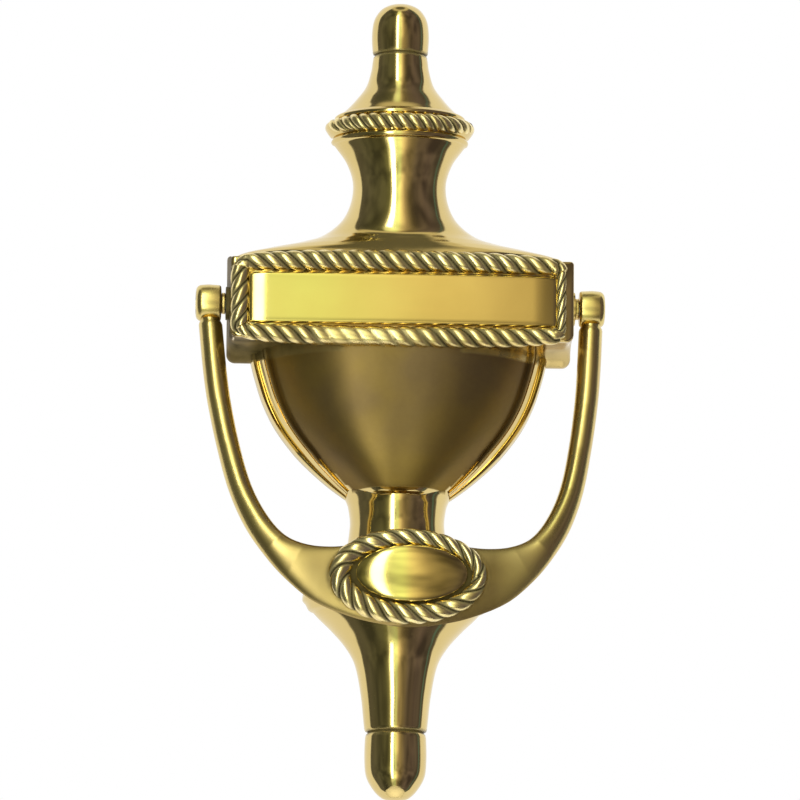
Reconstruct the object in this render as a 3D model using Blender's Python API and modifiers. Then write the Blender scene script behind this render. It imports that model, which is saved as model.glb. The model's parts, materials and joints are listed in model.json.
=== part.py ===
"""A brass urn door knocker: a hollow cast urn for the face of a door, and a bail that swings on it.

Sizes are in millimetres and become metres as each mesh is made. The door's face is the plane y = 0,
the knocker stands out of it towards -Y, and +Z is up. The origin is on the door's face, on the urn's
centre line, half way up.
"""

import math

import bmesh
import bpy
from mathutils import Matrix, Vector

MM = 0.001

# Driving sizes of the urn
HALF_HEIGHT = 95.1
WALL = 2.8
BACK = 2.0  # how far solids run past the door's face before they are trimmed to it
ARC_STEPS = 16
SPAN_STEPS = 2

# The plinth that carries the name panel
PLINTH_BACK = (40.4, 8.1, 33.4)  # half width, lower edge, upper edge
PLINTH_FRONT = (40.0, 10.6, 30.0)
PLINTH_DEPTH = 18.6
PLINTH_LIP = 0.5  # the plinth keeps its full size this far out from the door
PANEL_SIZE = (73.4, 12.1)
PANEL_CENTRE = 20.3
PANEL_FACE = 20.6
PANEL_EDGE = 0.6
FRAME_HALF_WIDTH = 37.9
FRAME_LOWER = 12.6
FRAME_UPPER = 28.4
FRAME_RADIUS = 1.7
FRAME_SWELL = 0.9  # how much thicker the bead is at mid span than at the corners
FRAME_ARCH = 1.1

# Rope collar and plain collar of the urn
COLLAR_HEIGHT = 64.3
COLLAR_HALF_WIDTH = 15.6
COLLAR_DEPTH = 11.6
COLLAR_RADIUS = 2.1

# Pivot of the bail, on the ends of the plinth
PIVOT_OUT = 8.0
PIVOT_HEIGHT = 20.8
PIN_RADIUS = 1.5
PIN_HEAD_RADIUS = 2.3
PIN_ENDS = (34.0, 47.6)
PIN_HEAD_LENGTH = 0.8
RUNNING_CLEARANCE = 0.08
GAP = 0.3
EYE_RADIUS = 4.4
EYE_FACES = (42.0, 47.9)
SPACER_RADIUS = 2.4
SPACER_FACES = (41.2, 41.7)
LUG_RADIUS = 3.9
LUG_FACES = (33.0, 40.9)

# Bail: half width and height of the outer and inner edges, from below the eye to the medallion
ARM_OUTER = ((47.4, 17.5), (46.5, 5.0), (45.6, -3.0), (43.7, -14.0), (41.2, -25.0),
             (37.8, -34.0), (33.6, -41.0), (28.6, -47.0), (22.3, -52.2), (13.0, -56.0))
ARM_INNER = ((42.3, 17.5), (41.2, 5.0), (40.3, -2.5), (38.5, -13.0), (36.0, -23.5),
             (32.8, -31.0), (28.7, -36.5), (24.0, -38.9), (18.0, -39.6), (11.0, -39.0))
ARM_OUT = (8.2, 9.6, 10.9, 14.0, 18.0, 21.6, 24.4, 25.8, 26.4, 26.6)
ARM_THICK = (6.6, 6.2, 5.8, 5.6, 5.6, 5.4, 5.0, 4.4, 3.8, 3.4)
ARM_RING = 12
ARM_SQUARENESS = 2.6
BAIL_SET = 1.5  # the bail hangs this far to the right at the medallion

MEDALLION_HEIGHT = -46.9
MEDALLION_PLATE = (17.4, 10.2)
MEDALLION_OUT = (24.9, 28.2)
WREATH_SIZE = (16.6, 9.2)
WREATH_RADIUS = 2.2
PLAQUE_SIZE = (12.4, 6.2)
PLAQUE_BACK = 25.9
PLAQUE_FACE = 31.0
PLATE_FACE_SHARE = 0.92  # how much of an oval disc's size is left at its face
PLAQUE_FACE_SHARE = 0.8
WREATH_STEPS = 40
KNOB_RADIUS = 4.4
KNOB_OUT = (18.9, 26.0)
STRIKE_RADIUS = 5.2
STRIKE_OUT = (12.0, 18.6)
STRIKE_HEIGHT = -47.85

# Fixings: studs tapped into the casting, through the door, to a washer and a dome nut
FIXING_HEIGHTS = {"upper": 62.0, "lower": -50.0}
BOSS_RADIUS = 5.2
BOSS_TOP = {"upper": 10.0, "lower": 12.0}
STUD_RADIUS = 2.5
STUD_ENDS = (-8.0, 51.0)
STUD_CHAMFER = 0.4
DOOR_THICKNESS = 44.0
WASHER_RADIUS = 6.0
WASHER_THICKNESS = 1.0
NUT_ACROSS_FLATS = 8.0
NUT_HEX_LENGTH = 4.5
NUT_DOME_RADIUS = 3.8
ROUND_STEPS = 32

# Profile of the urn as (height, half width, depth); each run is smooth, and the runs meet at an edge
LOWER_TIP = ((-95.1, 1.0, 1.0), (-94.5, 3.1, 3.0), (-92.9, 4.8, 4.7), (-89.5, 6.7, 6.5),
             (-85.5, 7.25, 7.0), (-79.6, 7.1, 6.9))
LOWER_FLARE = ((-78.9, 6.7, 6.5), (-78.2, 7.3, 7.1), (-70.3, 8.2, 7.9), (-63.0, 9.7, 9.2), (-59.0, 11.9, 10.8),
               (-55.2, 15.2, 13.0), (-51.4, 19.4, 15.2), (-49.4, 20.9, 15.9))
LOWER_COLLAR = ((-49.2, 22.0, 16.6), (-46.5, 22.0, 16.6))
LOWER_NECK = ((-46.3, 20.4, 15.8), (-43.0, 16.6, 14.0), (-38.0, 12.6, 11.9), (-30.6, 11.1, 11.0),
              (-23.2, 12.2, 12.2))
DOME = ((-22.9, 13.2, 12.8), (-19.2, 16.6, 14.6), (-13.5, 21.4, 16.4), (-7.7, 25.4, 17.7), (0.0, 28.4, 18.6),
        (8.0, 29.9, 19.0))
ROOF = ((31.6, 39.0, 17.8), (33.4, 38.6, 16.2), (34.9, 32.5, 15.0), (36.3, 25.6, 13.9), (38.3, 18.6, 12.7),
        (42.0, 14.0, 11.6), (46.5, 11.6, 10.6), (51.7, 11.0, 10.1), (56.5, 12.5, 10.8), (61.0, 15.5, 12.3))
COLLAR_CORE = ((61.8, 15.8, 12.2), (66.6, 15.2, 11.6))
UPPER_FLARE = ((67.1, 14.4, 11.4), (69.0, 13.2, 10.9), (71.5, 10.6, 9.4), (74.9, 8.1, 7.7), (78.7, 6.9, 6.7),
               (82.1, 6.3, 6.1))
UPPER_TIP = ((82.7, 6.1, 5.9), (83.3, 6.5, 6.3), (87.5, 6.75, 6.6), (91.0, 6.3, 6.1), (93.4, 5.1, 5.0),
             (94.7, 3.0, 3.0), (95.1, 1.0, 1.0))
FLANGE = ((-23.0, 13.9, 7.0), (-19.2, 18.5, 7.0), (-13.5, 24.5, 7.0), (-7.7, 28.9, 7.0), (0.0, 32.4, 7.0),
          (8.6, 34.8, 7.0))

# Hollow of the casting, as (height, half width, depth)
HOLLOW = ((-92.0, 3.6, 3.4), (-87.0, 4.4, 4.2), (-72.0, 5.2, 5.0), (-62.0, 7.0, 6.4), (-54.0, 13.2, 10.4),
          (-48.0, 17.6, 13.4), (-43.0, 13.4, 11.2), (-36.0, 8.8, 8.6), (-26.0, 8.4, 8.6), (-20.0, 12.6, 10.6),
          (-10.0, 21.0, 13.8), (0.0, 25.6, 15.6), (8.0, 27.0, 15.8), (28.0, 27.4, 15.4), (33.0, 25.0, 12.4),
          (38.0, 14.8, 9.8), (44.0, 9.6, 8.4), (51.7, 8.2, 7.4), (58.0, 10.4, 8.4),
          (64.3, 13.4, 9.8), (70.0, 9.0, 7.6), (76.0, 4.8, 4.6), (86.0, 3.9, 3.8), (92.0, 3.0, 3.0))


def clear_scene():
    for obj in list(bpy.data.objects):
        bpy.data.objects.remove(obj, do_unlink=True)
    for collection in list(bpy.data.collections):
        bpy.data.collections.remove(collection)


def add_collection(name):
    collection = bpy.data.collections.new(name)
    bpy.context.scene.collection.children.link(collection)
    return collection


def metal(name, colour, roughness):
    material = bpy.data.materials.new(name)
    material.use_nodes = True
    shader = material.node_tree.nodes["Principled BSDF"]
    shader.inputs["Base Color"].default_value = (*colour, 1.0)
    shader.inputs["Metallic"].default_value = 1.0
    shader.inputs["Roughness"].default_value = roughness
    return material


clear_scene()
PARTS = add_collection("door_knocker")
HELPERS = add_collection("helpers")
BRASS = metal("polished_brass", (0.80, 0.62, 0.26), 0.14)
PIN_STEEL = metal("pin_steel", (0.55, 0.54, 0.52), 0.3)
ZINC_STEEL = metal("zinc_steel", (0.62, 0.63, 0.65), 0.35)


# Building blocks

def add_object(name, mesh, material, collection):
    mesh.materials.append(material)
    obj = bpy.data.objects.new(name, mesh)
    collection.objects.link(obj)
    return obj


def add_part(name, mesh, material):
    return add_object(name, mesh, material, PARTS)


def add_helper(name, mesh):
    obj = add_object(name, mesh, BRASS, HELPERS)
    obj.hide_render = True
    obj.display_type = "WIRE"
    return obj


def finish_mesh(bm, name):
    bmesh.ops.recalc_face_normals(bm, faces=bm.faces)
    bmesh.ops.scale(bm, verts=bm.verts, vec=(MM, MM, MM))
    mesh = bpy.data.meshes.new(name)
    bm.to_mesh(mesh)
    bm.free()
    return mesh


def smooth_run(points):
    """The points of a run with SPAN_STEPS steps between each two, on a cubic that suits uneven spans."""
    points = [Vector(point) for point in points]
    ends = [2 * points[0] - points[1], *points, 2 * points[-1] - points[-2]]
    run = []
    for i in range(len(points) - 1):
        before, first, second, after = ends[i:i + 4]
        span = (second - first).length
        leave = (second - before) * span / ((first - before).length + span)
        arrive = (after - first) * span / ((after - second).length + span)
        for step in range(SPAN_STEPS):
            t = step / SPAN_STEPS
            run.append(first * (2 * t ** 3 - 3 * t ** 2 + 1) + leave * (t ** 3 - 2 * t ** 2 + t)
                       + second * (3 * t ** 2 - 2 * t ** 3) + arrive * (t ** 3 - t ** 2))
    return [*run, points[-1]]


def loft(name, rings):
    """A closed mesh through rings that have the same number of points."""
    bm = bmesh.new()
    levels = [[bm.verts.new(point) for point in ring] for ring in rings]
    for lower, upper in zip(levels, levels[1:]):
        for i in range(len(lower)):
            j = (i + 1) % len(lower)
            bm.faces.new((lower[i], lower[j], upper[j], upper[i]))
    bm.faces.new(list(reversed(levels[0])))
    bm.faces.new(levels[-1])
    return finish_mesh(bm, name)


def half_ring(height, half_width, depth, back):
    """A half ellipse in front of the door's face, closed by a straight line behind it."""
    angles = [math.pi * (step + 0.5) / ARC_STEPS for step in range(ARC_STEPS)]
    front = [Vector((half_width * math.cos(a), -depth * math.sin(a), height)) for a in angles]
    return [*front, Vector((-half_width, back, height)), Vector((half_width, back, height))]


def half_turned(name, levels, back):
    return loft(name, [half_ring(*level, back) for level in levels])


def block_ring(half_width, lower, upper, out):
    corners = ((-half_width, lower), (half_width, lower), (half_width, upper), (-half_width, upper))
    return [Vector((x, -out, z)) for x, z in corners]


def cylinder(name, radius, start, end, centre, axis, sides=ROUND_STEPS):
    """A cylinder from start to end along axis, measured from the plane through the origin."""
    bm = bmesh.new()
    bmesh.ops.create_cone(bm, cap_ends=True, segments=sides, radius1=radius, radius2=radius, depth=end - start)
    turn = Vector((0, 0, 1)).rotation_difference(Vector(axis)).to_matrix()
    place = Vector(centre) + Vector(axis) * (start + end) / 2
    bmesh.ops.transform(bm, matrix=Matrix.Translation(place) @ turn.to_4x4(), verts=bm.verts)
    return finish_mesh(bm, name)


def bead(name, points, radii, closed):
    """A round bead along points; its caps are welded, so it can be joined to a casting."""
    curve = bpy.data.curves.new(name, "CURVE")
    curve.dimensions = "3D"
    curve.bevel_depth = MM
    curve.bevel_resolution = 2
    curve.use_fill_caps = True
    spline = curve.splines.new("POLY")
    spline.use_cyclic_u = closed
    spline.points.add(len(points) - 1)
    for point, place, radius in zip(spline.points, points, radii):
        point.co = (*(Vector(place) * MM), 1.0)
        point.radius = radius
    obj = bpy.data.objects.new(name, curve)
    HELPERS.objects.link(obj)
    bpy.context.view_layer.update()
    mesh = bpy.data.meshes.new_from_object(obj.evaluated_get(bpy.context.evaluated_depsgraph_get()))
    bpy.data.objects.remove(obj)
    bm = bmesh.new()
    bm.from_mesh(mesh)
    bmesh.ops.remove_doubles(bm, verts=bm.verts, dist=MM * 0.01)
    bmesh.ops.recalc_face_normals(bm, faces=bm.faces)
    bm.to_mesh(mesh)
    bm.free()
    mesh.materials.clear()
    return mesh


def combine(target, tool, operation):
    modifier = target.modifiers.new(tool.name, "BOOLEAN")
    modifier.operation = operation
    # The exact solver leaves open edges where the bead, the panel and the plinth meet
    modifier.solver = "MANIFOLD"
    modifier.object = tool


def join(target, name, mesh):
    combine(target, add_helper(name, mesh), "UNION")


def cut(target, name, mesh):
    combine(target, add_helper(name, mesh), "DIFFERENCE")


def round_off(obj, width):
    bevel = obj.modifiers.new("edge_round", "BEVEL")
    bevel.width = width * MM
    bevel.segments = 2
    bevel.limit_method = "ANGLE"


def shade(obj):
    obj.data.shade_smooth()
    obj.data.set_sharp_from_angle(angle=math.radians(40))


def set_origin(obj, point):
    """Moves the object's origin to a point without moving its mesh."""
    place = Vector(point) * MM
    obj.data.transform(Matrix.Translation(-place))
    obj.location = place


# The urn

def frame_points():
    """Centre line and radius of the bead round the panel: arched above and below, straight at the sides."""
    steps = 14
    points = []
    for level, sign in ((FRAME_UPPER, 1), (FRAME_LOWER, -1)):
        for step in range(steps + 1):
            x = sign * FRAME_HALF_WIDTH * (2 * step / steps - 1)
            arch = math.sqrt(max(0.0, 1 - (x / FRAME_HALF_WIDTH) ** 2))
            place = (x, -PLINTH_DEPTH, level + sign * FRAME_ARCH * arch)
            points.append((place, FRAME_RADIUS + FRAME_SWELL * arch))
    return points


def add_plinth(urn):
    rings = [block_ring(*PLINTH_BACK, -BACK), block_ring(*PLINTH_BACK, PLINTH_LIP),
             block_ring(*PLINTH_FRONT, PLINTH_DEPTH)]
    join(urn, "plinth_block", loft("plinth_block", rings))
    points, radii = zip(*frame_points())
    join(urn, "panel_bead", bead("panel_bead", points, radii, True))


def add_panel(urn):
    half_width, half_height = PANEL_SIZE[0] / 2, PANEL_SIZE[1] / 2
    edges = (half_width, PANEL_CENTRE - half_height, PANEL_CENTRE + half_height)
    face = (half_width - PANEL_EDGE, edges[1] + PANEL_EDGE, edges[2] - PANEL_EDGE)
    rings = [block_ring(*edges, PLINTH_DEPTH - WALL / 2), block_ring(*edges, PANEL_FACE - PANEL_EDGE),
             block_ring(*face, PANEL_FACE)]
    join(urn, "name_panel", loft("name_panel", rings))


def add_collars(urn):
    angles = [math.pi * step / ARC_STEPS for step in range(ARC_STEPS + 1)]
    points = [(COLLAR_HALF_WIDTH * math.cos(a), -COLLAR_DEPTH * math.sin(a), COLLAR_HEIGHT) for a in angles]
    points = [(COLLAR_HALF_WIDTH, BACK, COLLAR_HEIGHT), *points, (-COLLAR_HALF_WIDTH, BACK, COLLAR_HEIGHT)]
    join(urn, "collar_bead", bead("collar_bead", points, [COLLAR_RADIUS] * len(points), False))
    centre = (0, 0, STRIKE_HEIGHT)
    join(urn, "strike_boss", cylinder("strike_boss", STRIKE_RADIUS, *STRIKE_OUT, centre, (0, -1, 0)))


def add_inside(urn):
    """Hollows the casting and leaves the tapped bosses and the lugs for the pivot pins standing in it."""
    cut(urn, "hollow", half_turned("hollow", smooth_run(HOLLOW), BACK + 1))
    back, front = (tuple(size - WALL * sign for size, sign in zip(sizes, (1, -1, 1)))
                   for sizes in (PLINTH_BACK, PLINTH_FRONT))
    rings = [block_ring(*back, -BACK - 1), block_ring(*back, PLINTH_LIP), block_ring(*front, PLINTH_DEPTH - WALL)]
    cut(urn, "plinth_hollow", loft("plinth_hollow", rings))
    for side, sign in (("left", -1), ("right", 1)):
        centre = (0, -PIVOT_OUT, PIVOT_HEIGHT)
        join(urn, f"pivot_lug_{side}", cylinder("lug", LUG_RADIUS, *LUG_FACES, centre, (sign, 0, 0)))
        bore = (LUG_FACES[0] - 1, LUG_FACES[1] + 1)
        cut(urn, f"pin_bore_{side}", cylinder("bore", PIN_RADIUS + GAP, *bore, centre, (sign, 0, 0)))
    for place, height in FIXING_HEIGHTS.items():
        centre = (0, 0, height)
        top = BOSS_TOP[place]
        join(urn, f"boss_{place}", cylinder("boss", BOSS_RADIUS, -BACK, top, centre, (0, -1, 0)))
        reach = -STUD_ENDS[0] + GAP
        cut(urn, f"stud_bore_{place}", cylinder("bore", STUD_RADIUS + GAP, -BACK - 1, reach, centre, (0, -1, 0)))


def trim_to_door(urn):
    bm = bmesh.new()
    bmesh.ops.create_cube(bm, size=1)
    size = (2 * HALF_HEIGHT, 3 * PLINTH_DEPTH, 3 * HALF_HEIGHT)
    bmesh.ops.scale(bm, verts=bm.verts, vec=size)
    bmesh.ops.translate(bm, verts=bm.verts, vec=(0, size[1] / 2, 0))
    cut(urn, "door_plane", finish_mesh(bm, "door_plane"))


def make_urn():
    runs = (LOWER_TIP, LOWER_FLARE, LOWER_COLLAR, LOWER_NECK, DOME, ROOF, COLLAR_CORE, UPPER_FLARE, UPPER_TIP)
    levels = [level for run in runs for level in smooth_run(run)]
    urn = add_part("urn_body", half_turned("urn_body", levels, BACK), BRASS)
    join(urn, "bowl_flange", half_turned("bowl_flange", smooth_run(FLANGE), BACK))
    add_plinth(urn)
    add_panel(urn)
    add_collars(urn)
    add_inside(urn)
    trim_to_door(urn)
    shade(urn)


# The bail

def bail_set(height):
    """How far to the right the bail hangs at this height."""
    return BAIL_SET * (PIVOT_HEIGHT - height) / (PIVOT_HEIGHT - MEDALLION_HEIGHT)


def arm_ring(outer, inner, out, thick, sign):
    """A rounded section across the arm, between its outer and its inner edge."""
    centre = (outer + inner) / 2
    reach = (outer - inner) / 2
    ring = []
    for step in range(ARM_RING):
        angle = 2 * math.pi * step / ARM_RING
        across = math.copysign(abs(math.cos(angle)) ** (2 / ARM_SQUARENESS), math.cos(angle))
        through = math.copysign(abs(math.sin(angle)) ** (2 / ARM_SQUARENESS), math.sin(angle))
        edge = centre + reach * across
        ring.append(Vector((sign * edge.x + bail_set(edge.y), -out + thick / 2 * through, edge.y)))
    return ring


def make_arm(name, sign):
    outer = smooth_run(ARM_OUTER)
    inner = smooth_run(ARM_INNER)
    depth = smooth_run(zip(ARM_OUT, ARM_THICK))
    rings = [arm_ring(o, i, *d, sign) for o, i, d in zip(outer, inner, depth)]
    return loft(name, rings)


def oval_disc(name, size, out, face_share):
    """An oval disc with its front edge drawn in to face_share of its size."""
    centre = bail_set(MEDALLION_HEIGHT)
    rings = []
    for share, reach in ((1.0, out[0]), (1.0, (out[0] + out[1]) / 2), (face_share, out[1])):
        angles = [2 * math.pi * step / WREATH_STEPS for step in range(WREATH_STEPS)]
        rings.append([Vector((centre + share * size[0] * math.cos(a), -reach,
                              MEDALLION_HEIGHT + share * size[1] * math.sin(a))) for a in angles])
    return loft(name, rings)


def make_medallion(bail):
    join(bail, "plaque", oval_disc("plaque", PLAQUE_SIZE, (PLAQUE_BACK, PLAQUE_FACE), PLAQUE_FACE_SHARE))
    angles = [2 * math.pi * (step + 0.5) / WREATH_STEPS for step in range(WREATH_STEPS)]
    centre = bail_set(MEDALLION_HEIGHT)
    points = [(centre + WREATH_SIZE[0] * math.cos(a), -MEDALLION_OUT[1],
               MEDALLION_HEIGHT + WREATH_SIZE[1] * math.sin(a)) for a in angles]
    join(bail, "wreath", bead("wreath", points, [WREATH_RADIUS] * len(points), True))
    knob_centre = (0, 0, STRIKE_HEIGHT)
    join(bail, "knob", cylinder("knob", KNOB_RADIUS, *KNOB_OUT, knob_centre, (0, -1, 0)))


def make_eye(bail, name, sign):
    centre = (0, -PIVOT_OUT, PIVOT_HEIGHT)
    inner, outer = EYE_FACES
    join(bail, f"eye_{name}", cylinder("eye", EYE_RADIUS, inner, outer, centre, (sign, 0, 0)))
    hole = PIN_RADIUS + RUNNING_CLEARANCE
    cut(bail, f"eye_bore_{name}", cylinder("eye_bore", hole, inner - 1, outer + 1, centre, (sign, 0, 0)))
    sink = (PIN_ENDS[1] - PIN_HEAD_LENGTH - GAP, outer + 1)
    cut(bail, f"head_bore_{name}", cylinder("head_bore", PIN_HEAD_RADIUS + GAP, *sink, centre, (sign, 0, 0)))


def make_bail():
    plate = oval_disc("knocker_bail", MEDALLION_PLATE, MEDALLION_OUT, PLATE_FACE_SHARE)
    bail = add_part("knocker_bail", plate, BRASS)
    for side, sign in (("left", -1), ("right", 1)):
        join(bail, f"arm_{side}", make_arm("arm", sign))
        make_eye(bail, side, sign)
    make_medallion(bail)
    set_origin(bail, (0, -PIVOT_OUT, PIVOT_HEIGHT))
    shade(bail)


# Pivot pins, spacers and fixings

def make_pivots():
    centre = (0, -PIVOT_OUT, PIVOT_HEIGHT)
    for side, sign in (("left", -1), ("right", 1)):
        start, end = PIN_ENDS
        head = (end - PIN_HEAD_LENGTH, end)
        shank = (start, end - PIN_HEAD_LENGTH / 2)
        pin = add_part(f"pivot_pin_{side}", cylinder("pin", PIN_RADIUS, *shank, centre, (sign, 0, 0)), PIN_STEEL)
        join(pin, f"pin_head_{side}", cylinder("pin_head", PIN_HEAD_RADIUS, *head, centre, (sign, 0, 0)))
        shade(pin)
        spacer = add_part(f"pivot_spacer_{side}",
                          cylinder("spacer", SPACER_RADIUS, *SPACER_FACES, centre, (sign, 0, 0)), BRASS)
        hole = (SPACER_FACES[0] - 1, SPACER_FACES[1] + 1)
        cut(spacer, f"spacer_bore_{side}",
            cylinder("spacer_bore", PIN_RADIUS + GAP, *hole, centre, (sign, 0, 0)))
        shade(spacer)


def make_dome_nut(name, height, start):
    """A hexagon nut with a domed, closed end and a blind hole."""
    centre = (0, 0, height)
    corner = NUT_ACROSS_FLATS / math.sqrt(3)
    hexagon = cylinder(name, corner, start, start + NUT_HEX_LENGTH, centre, (0, 1, 0), sides=6)
    nut = add_part(name, hexagon, BRASS)
    bm = bmesh.new()
    bmesh.ops.create_uvsphere(bm, u_segments=ROUND_STEPS // 2, v_segments=ROUND_STEPS // 4, radius=NUT_DOME_RADIUS)
    bmesh.ops.translate(bm, verts=bm.verts, vec=(0, start + NUT_HEX_LENGTH, height))
    join(nut, f"{name}_dome", finish_mesh(bm, "dome"))
    depth = STUD_ENDS[1] - start + GAP
    cut(nut, f"{name}_bore", cylinder("bore", STUD_RADIUS + GAP, start - 1, start + depth, centre, (0, 1, 0)))
    shade(nut)


def make_fixings():
    for place, height in FIXING_HEIGHTS.items():
        centre = (0, 0, height)
        stud = add_part(f"fixing_stud_{place}", cylinder("stud", STUD_RADIUS, *STUD_ENDS, centre, (0, 1, 0)),
                        ZINC_STEEL)
        round_off(stud, STUD_CHAMFER)
        shade(stud)
        start = DOOR_THICKNESS + GAP
        end = start + WASHER_THICKNESS
        washer = add_part(f"fixing_washer_{place}", cylinder("washer", WASHER_RADIUS, start, end, centre, (0, 1, 0)),
                          BRASS)
        hole = (start - 1, end + 1)
        cut(washer, f"washer_bore_{place}", cylinder("washer_bore", STUD_RADIUS + GAP, *hole, centre, (0, 1, 0)))
        shade(washer)
        make_dome_nut(f"dome_nut_{place}", height, end + GAP)


make_urn()
make_bail()
make_pivots()
make_fixings()
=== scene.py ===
"""The looks of the brass urn door knocker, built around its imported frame.

Sizes are in millimetres and become metres as each mesh is made. The door's face is y = 0, the
knocker stands out of it towards -Y, and +Z is up, as in the frame.
"""

import json
import math

import bmesh
import bpy
from mathutils import Matrix, Vector, noise


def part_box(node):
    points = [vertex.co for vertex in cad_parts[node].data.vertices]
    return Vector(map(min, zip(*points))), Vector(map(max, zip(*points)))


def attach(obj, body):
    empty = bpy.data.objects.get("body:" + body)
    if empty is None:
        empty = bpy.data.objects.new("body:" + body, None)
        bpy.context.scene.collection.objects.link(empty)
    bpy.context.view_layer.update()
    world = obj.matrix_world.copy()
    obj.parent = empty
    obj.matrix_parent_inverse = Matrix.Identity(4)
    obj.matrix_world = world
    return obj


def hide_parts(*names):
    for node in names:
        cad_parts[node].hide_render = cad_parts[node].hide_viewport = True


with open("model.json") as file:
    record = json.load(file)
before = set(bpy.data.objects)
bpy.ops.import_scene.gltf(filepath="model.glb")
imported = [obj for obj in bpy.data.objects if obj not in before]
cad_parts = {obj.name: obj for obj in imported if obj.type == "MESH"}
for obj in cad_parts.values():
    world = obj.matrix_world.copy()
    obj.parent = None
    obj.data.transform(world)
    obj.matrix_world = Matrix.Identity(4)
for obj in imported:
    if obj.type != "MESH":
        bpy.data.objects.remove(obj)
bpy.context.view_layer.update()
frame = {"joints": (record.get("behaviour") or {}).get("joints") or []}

MM = 0.001


def box_mm(name):
    low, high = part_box(name)
    return low / MM, high / MM


# Places that come from the frame
PIVOT = Vector(frame["joints"][0]["pos_m"]) / MM
PIVOT_CENTRE = (0, PIVOT.y, PIVOT.z)
PIN_LOW, PIN_HIGH = box_mm("pivot_pin_right")
SPACER_LOW, SPACER_HIGH = box_mm("pivot_spacer_right")
TOP = box_mm("urn_body")[1].z

WALL = 2.8
ARC_STEPS = 72
SPAN_STEPS, COARSE_STEPS, CORE_STEPS = 9, 4, 3
EDGE_STEPS = 5
BEHIND = 2.0  # how far solids run past the door's face before they are trimmed to it

# Urn profile as (height, half width, depth): each run is smooth, and the runs meet at an edge
LOWER_TIP = ((-TOP, 0.3, 0.3), (-94.9, 1.6, 1.6), (-94.3, 3.2, 3.1), (-92.6, 5.0, 4.9), (-89.4, 6.8, 6.6),
             (-85.5, 7.25, 7.0), (-80.4, 7.15, 6.95), (-79.5, 6.95, 6.75), (-79.2, 6.6, 6.4))
LOWER_FLARE = ((-79.0, 6.55, 6.35), (-78.7, 7.1, 6.9), (-78.0, 7.35, 7.15), (-70.3, 8.2, 7.9),
               (-63.0, 9.7, 9.2), (-59.0, 11.9, 10.8), (-55.2, 15.2, 13.0), (-52.3, 18.2, 14.6),
               (-51.0, 19.4, 15.2))
LOWER_COLLAR = ((-50.8, 19.9, 15.6), (-50.3, 20.6, 16.1), (-49.0, 21.3, 16.4), (-48.1, 22.0, 16.6),
                (-47.0, 22.0, 16.6), (-46.5, 21.8, 16.4), (-46.3, 21.2, 16.1))
LOWER_NECK = ((-46.1, 20.4, 15.8), (-43.0, 16.6, 14.0), (-38.0, 12.6, 11.9), (-30.6, 11.1, 11.0),
              (-26.0, 11.5, 11.6), (-23.6, 12.4, 12.4))
ROOF = ((30.6, 39.2, 18.0), (33.2, 38.8, 16.2), (34.7, 33.6, 15.1), (36.3, 25.6, 13.9), (38.3, 18.9, 12.7),
        (42.0, 14.0, 11.6), (46.5, 11.6, 10.6), (51.7, 11.0, 10.1), (56.5, 12.5, 10.8), (60.4, 15.2, 12.2))
PLAIN_BEAD = ((60.6, 15.4, 12.3), (60.9, 15.9, 12.8), (61.5, 16.2, 13.1), (62.1, 15.9, 12.8),
              (62.3, 15.4, 12.3))
COLLAR_CORE = ((62.5, 16.2, 12.2), (63.4, 16.9, 12.5), (64.7, 17.6, 12.7), (65.7, 17.4, 12.4),
               (66.3, 16.0, 11.8))
FILLET = ((66.5, 14.9, 11.5), (66.8, 15.3, 12.0), (67.3, 15.4, 12.1), (67.7, 15.0, 11.8), (67.9, 14.4, 11.4))
UPPER_FLARE = ((68.1, 13.9, 11.2), (69.5, 12.4, 10.4), (71.5, 10.6, 9.4), (74.9, 8.1, 7.7), (78.7, 6.9, 6.7),
               (81.6, 6.45, 6.2), (82.2, 6.3, 6.1), (82.4, 5.95, 5.8))
UPPER_TIP = ((82.6, 5.95, 5.8), (82.8, 6.35, 6.2), (83.4, 6.55, 6.35), (87.5, 6.75, 6.6), (91.0, 6.3, 6.1),
             (93.4, 4.9, 4.8), (94.6, 3.1, 3.0), (94.95, 1.6, 1.6), (TOP, 0.3, 0.3))
CORE = ((-20.0, 13.0, 12.0), (26.0, 30.0, 14.0))  # runs straight up inside the bowl and the plinth
GROOVES = (-79.1, 82.5)

# Bowl: outline of its flange, and the dome inside the moulding
BOWL = ((-24.6, 11.5, 11.7), (-23.6, 13.0, 12.9), (-21.1, 16.4, 14.2), (-17.3, 20.8, 15.8),
        (-13.5, 24.5, 16.9), (-7.7, 28.8, 18.0), (-2.0, 31.7, 18.7), (3.7, 33.6, 19.0), (9.0, 34.9, 19.0),
        (12.4, 35.2, 18.3))
FLANGE_SECTION = ((0.0, 0.0), (0.15, 3.0), (0.5, 3.9), (1.1, 4.2), (1.6, 3.9), (1.75, 4.3), (2.4, 4.9),
                  (2.9, 6.0), (3.1, 5.8), (3.35, 6.7), (3.7, 7.0), (4.1, 6.7))
FLANGE_REACH = 4.4
FLANGE_FULL = 24.0  # the flange shrinks where the bowl's half width is less than this
DOME_START = 6.3
DOME_STEPS = 32
DOME_FLATNESS = 3.3  # 2 is a round dome, and more is flatter in front

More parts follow.
